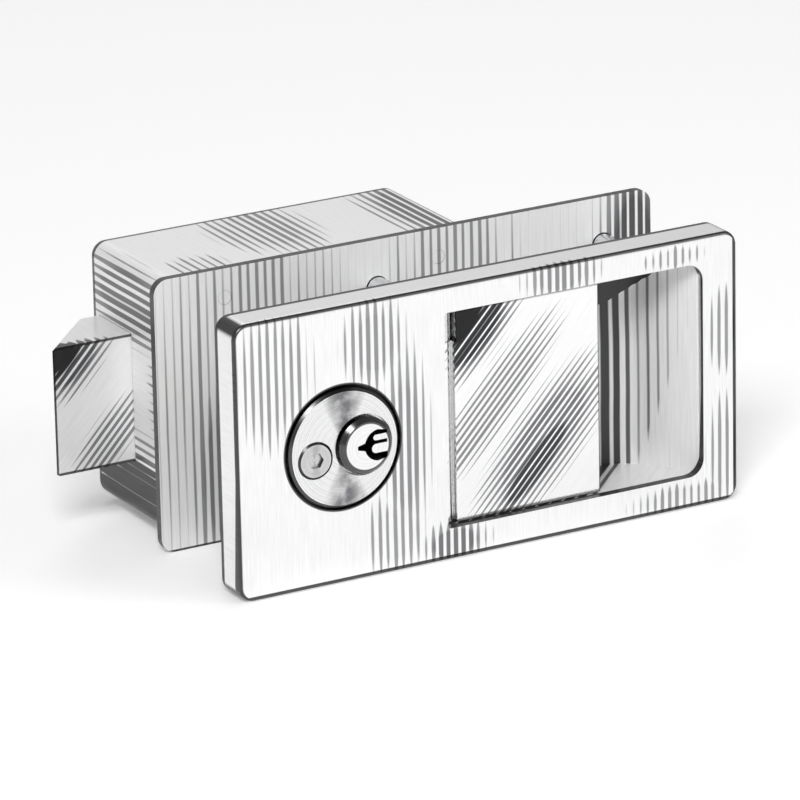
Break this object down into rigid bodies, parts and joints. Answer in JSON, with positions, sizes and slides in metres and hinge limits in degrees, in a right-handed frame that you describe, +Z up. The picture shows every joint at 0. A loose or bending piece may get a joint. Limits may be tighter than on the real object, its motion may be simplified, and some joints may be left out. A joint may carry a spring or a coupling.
{
  "type": "cabinet cylinder lock",
  "caption": "Flush cabinet latch: tray-shaped face plate with key cylinder and recessed paddle, a gap for the door, a back flange and a boxed case with a sliding bevelled bolt.",
  "frame": {"origin": "middle of the face plate's rim, in the plane where the rim meets the door", "axes": "+X right as seen from in front of the door, +Y into the door, +Z up; the bolt points to -X"},
  "size_m": [0.1425, 0.0822, 0.0636],
  "materials": {
    "satin_plate": "satin, vertical brushed grain",
    "polished_trim": "polished",
    "cup_casting": "satin plated casting",
    "cylinder_metal": "satin plated",
    "case_steel": "satin plated sheet",
    "bolt_metal": "polished",
    "fastener_steel": "bright plated",
    "spring_steel": "bright",
    "brass_inner": "machined"
  },
  "bodies": {
    "lock_body": {"face_plate": "satin_plate", "pull_cup": "cup_casting", "cup_nuts": "fastener_steel", "hinge_pin": "fastener_steel", "hinge_sleeve": "polished_trim", "paddle_leaf_spring": "spring_steel", "leaf_screw": "fastener_steel", "mounting_posts": "fastener_steel", "long_screws": "fastener_steel", "case_spacers": "fastener_steel", "short_screws": "fastener_steel", "screw_washers": "fastener_steel", "flange_plate": "case_steel", "case_shell": "case_steel", "flange_rivets": "fastener_steel", "bolt_spring": "spring_steel", "bolt_guide": "brass_inner", "rear_guide": "case_steel", "guide_rivets": "fastener_steel", "cylinder_body": "cylinder_metal", "chamber_cap": "brass_inner", "cylinder_collar": "fastener_steel", "set_screw": "fastener_steel", "face_screw": "cylinder_metal", "driver_pins": "brass_inner", "pin_springs": "spring_steel"},
    "paddle": {"paddle": "polished_trim", "paddle_lever": "case_steel", "lever_rivets": "fastener_steel", "drive_roller": "fastener_steel", "roller_pin": "fastener_steel"},
    "key_plug": {"plug": "cylinder_metal", "key_pins": "brass_inner", "tailpiece": "fastener_steel", "tail_screws": "fastener_steel"},
    "bolt": {"latch_bolt": "bolt_metal", "bolt_tail": "case_steel", "tail_rivets": "fastener_steel", "guide_studs": "fastener_steel", "spring_rod": "fastener_steel"},
    "coupler": {"drive_coupler": "case_steel"}
  },
  "joints": [
    {"name": "paddle_swing", "type": "hinge", "parent": "lock_body", "child": "paddle", "pos_m": [-0.0098, -0.0032, 0.0005], "axis": [0, 0, -1], "range_deg": [0, 20.03], "stiffness_Nm_per_rad": 1.5, "springref_deg": -10.03, "deforming": ["paddle_leaf_spring"]},
    {"name": "bolt_slide", "type": "slide", "parent": "lock_body", "child": "bolt", "axis": [1, 0, 0], "range_m": [0, 0.016], "deforming": ["bolt_spring"]},
    {"name": "plug_turn", "type": "hinge", "parent": "lock_body", "child": "key_plug", "pos_m": [-0.0327, -0.0111, -0.0005], "axis": [0, -1, 0], "range_deg": [0, 90]},
    {"name": "coupler_shift", "type": "slide", "parent": "bolt", "child": "coupler", "axis": [0, 0, 1], "range_m": [0, 0.00848]}
  ],
  "couplings": [
    {"joint": "paddle_swing", "follows": "bolt_slide", "rad_per_m": 21.85},
    {"joint": "plug_turn", "follows": "coupler_shift", "rad_per_m": 185.12}
  ]
}
